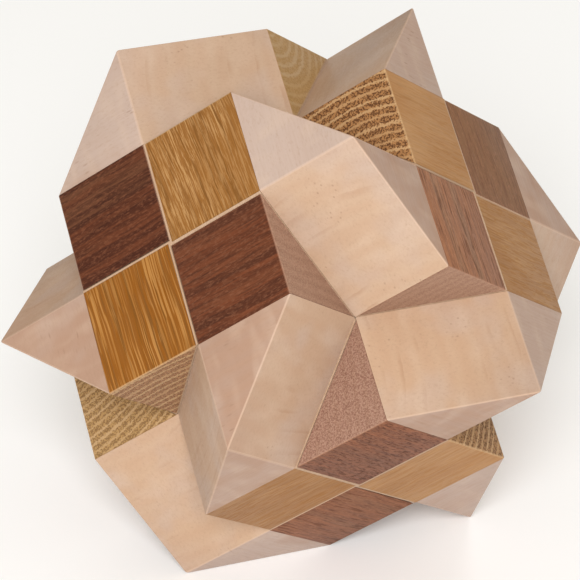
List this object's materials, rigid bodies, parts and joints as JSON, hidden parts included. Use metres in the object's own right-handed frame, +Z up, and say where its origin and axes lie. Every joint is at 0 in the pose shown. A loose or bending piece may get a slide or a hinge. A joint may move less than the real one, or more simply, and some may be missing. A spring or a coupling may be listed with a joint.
{
  "type": "wooden burr puzzle",
  "caption": "Interlocking wooden burr puzzle of pale sticks over crossed bars with checkerboard ends; its pieces slide outwards together.",
  "frame": {"origin": "on the ground, midway between the three spike tips that the puzzle stands on", "axes": "+Z up along a diagonal of the cube, about which the outline repeats every third of a turn; +X along the widest reach, from one spike tip to the opposite one; the lower front piece points towards -Y"},
  "size_m": [0.1132, 0.098, 0.0924],
  "materials": {
    "maple": "satin",
    "locust": "satin",
    "walnut": "satin",
    "core": "sawn, unfinished"
  },
  "bodies": {
    "lower_right_piece": {"lower_right_core": "core", "lower_right_maple_1": "maple", "lower_right_maple_2": "maple", "lower_right_locust_1": "locust", "lower_right_locust_2": "locust", "lower_right_walnut_1": "walnut", "lower_right_walnut_2": "walnut"},
    "upper_left_piece": {"upper_left_core": "core", "upper_left_maple_1": "maple", "upper_left_maple_2": "maple", "upper_left_locust_1": "locust", "upper_left_locust_2": "locust", "upper_left_walnut_1": "walnut", "upper_left_walnut_2": "walnut"},
    "upper_right_piece": {"upper_right_core": "core", "upper_right_maple_1": "maple", "upper_right_maple_2": "maple", "upper_right_locust_1": "locust", "upper_right_locust_2": "locust", "upper_right_walnut_1": "walnut", "upper_right_walnut_2": "walnut"},
    "upper_back_piece": {"upper_back_core": "core", "upper_back_maple_1": "maple", "upper_back_maple_2": "maple", "upper_back_locust_1": "locust", "upper_back_locust_2": "locust", "upper_back_walnut_1": "walnut", "upper_back_walnut_2": "walnut"},
    "lower_left_piece": {"lower_left_core": "core", "lower_left_maple_1": "maple", "lower_left_maple_2": "maple", "lower_left_locust_1": "locust", "lower_left_locust_2": "locust", "lower_left_walnut_1": "walnut", "lower_left_walnut_2": "walnut"},
    "lower_front_piece": {"lower_front_core": "core", "lower_front_maple_1": "maple", "lower_front_maple_2": "maple", "lower_front_locust_1": "locust", "lower_front_locust_2": "locust", "lower_front_walnut_1": "walnut", "lower_front_walnut_2": "walnut"}
  },
  "joints": [
    {"name": "upper_left_slide", "type": "slide", "parent": "lower_right_piece", "child": "upper_left_piece", "axis": [-0.7071, -0.4082, 0.5774], "range_m": [0, 0.036]},
    {"name": "upper_right_slide", "type": "slide", "parent": "lower_right_piece", "child": "upper_right_piece", "axis": [0, -0.5774, 0.8165], "range_m": [0, 0.02546]},
    {"name": "upper_back_slide", "type": "slide", "parent": "lower_right_piece", "child": "upper_back_piece", "axis": [-0.5, 0.2887, 0.8165], "range_m": [0, 0.02546]},
    {"name": "lower_left_slide", "type": "slide", "parent": "lower_right_piece", "child": "lower_left_piece", "axis": [-1, 0, 0], "range_m": [0, 0.02546]},
    {"name": "lower_front_slide", "type": "slide", "parent": "lower_right_piece", "child": "lower_front_piece", "axis": [-0.5, -0.866, 0], "range_m": [0, 0.02546]}
  ],
  "couplings": [
    {"joint": "upper_right_slide", "follows": "upper_left_slide", "ratio": 0.70711},
    {"joint": "upper_back_slide", "follows": "upper_left_slide", "ratio": 0.70711},
    {"joint": "lower_left_slide", "follows": "upper_left_slide", "ratio": 0.70711},
    {"joint": "lower_front_slide", "follows": "upper_left_slide", "ratio": 0.70711}
  ]
}
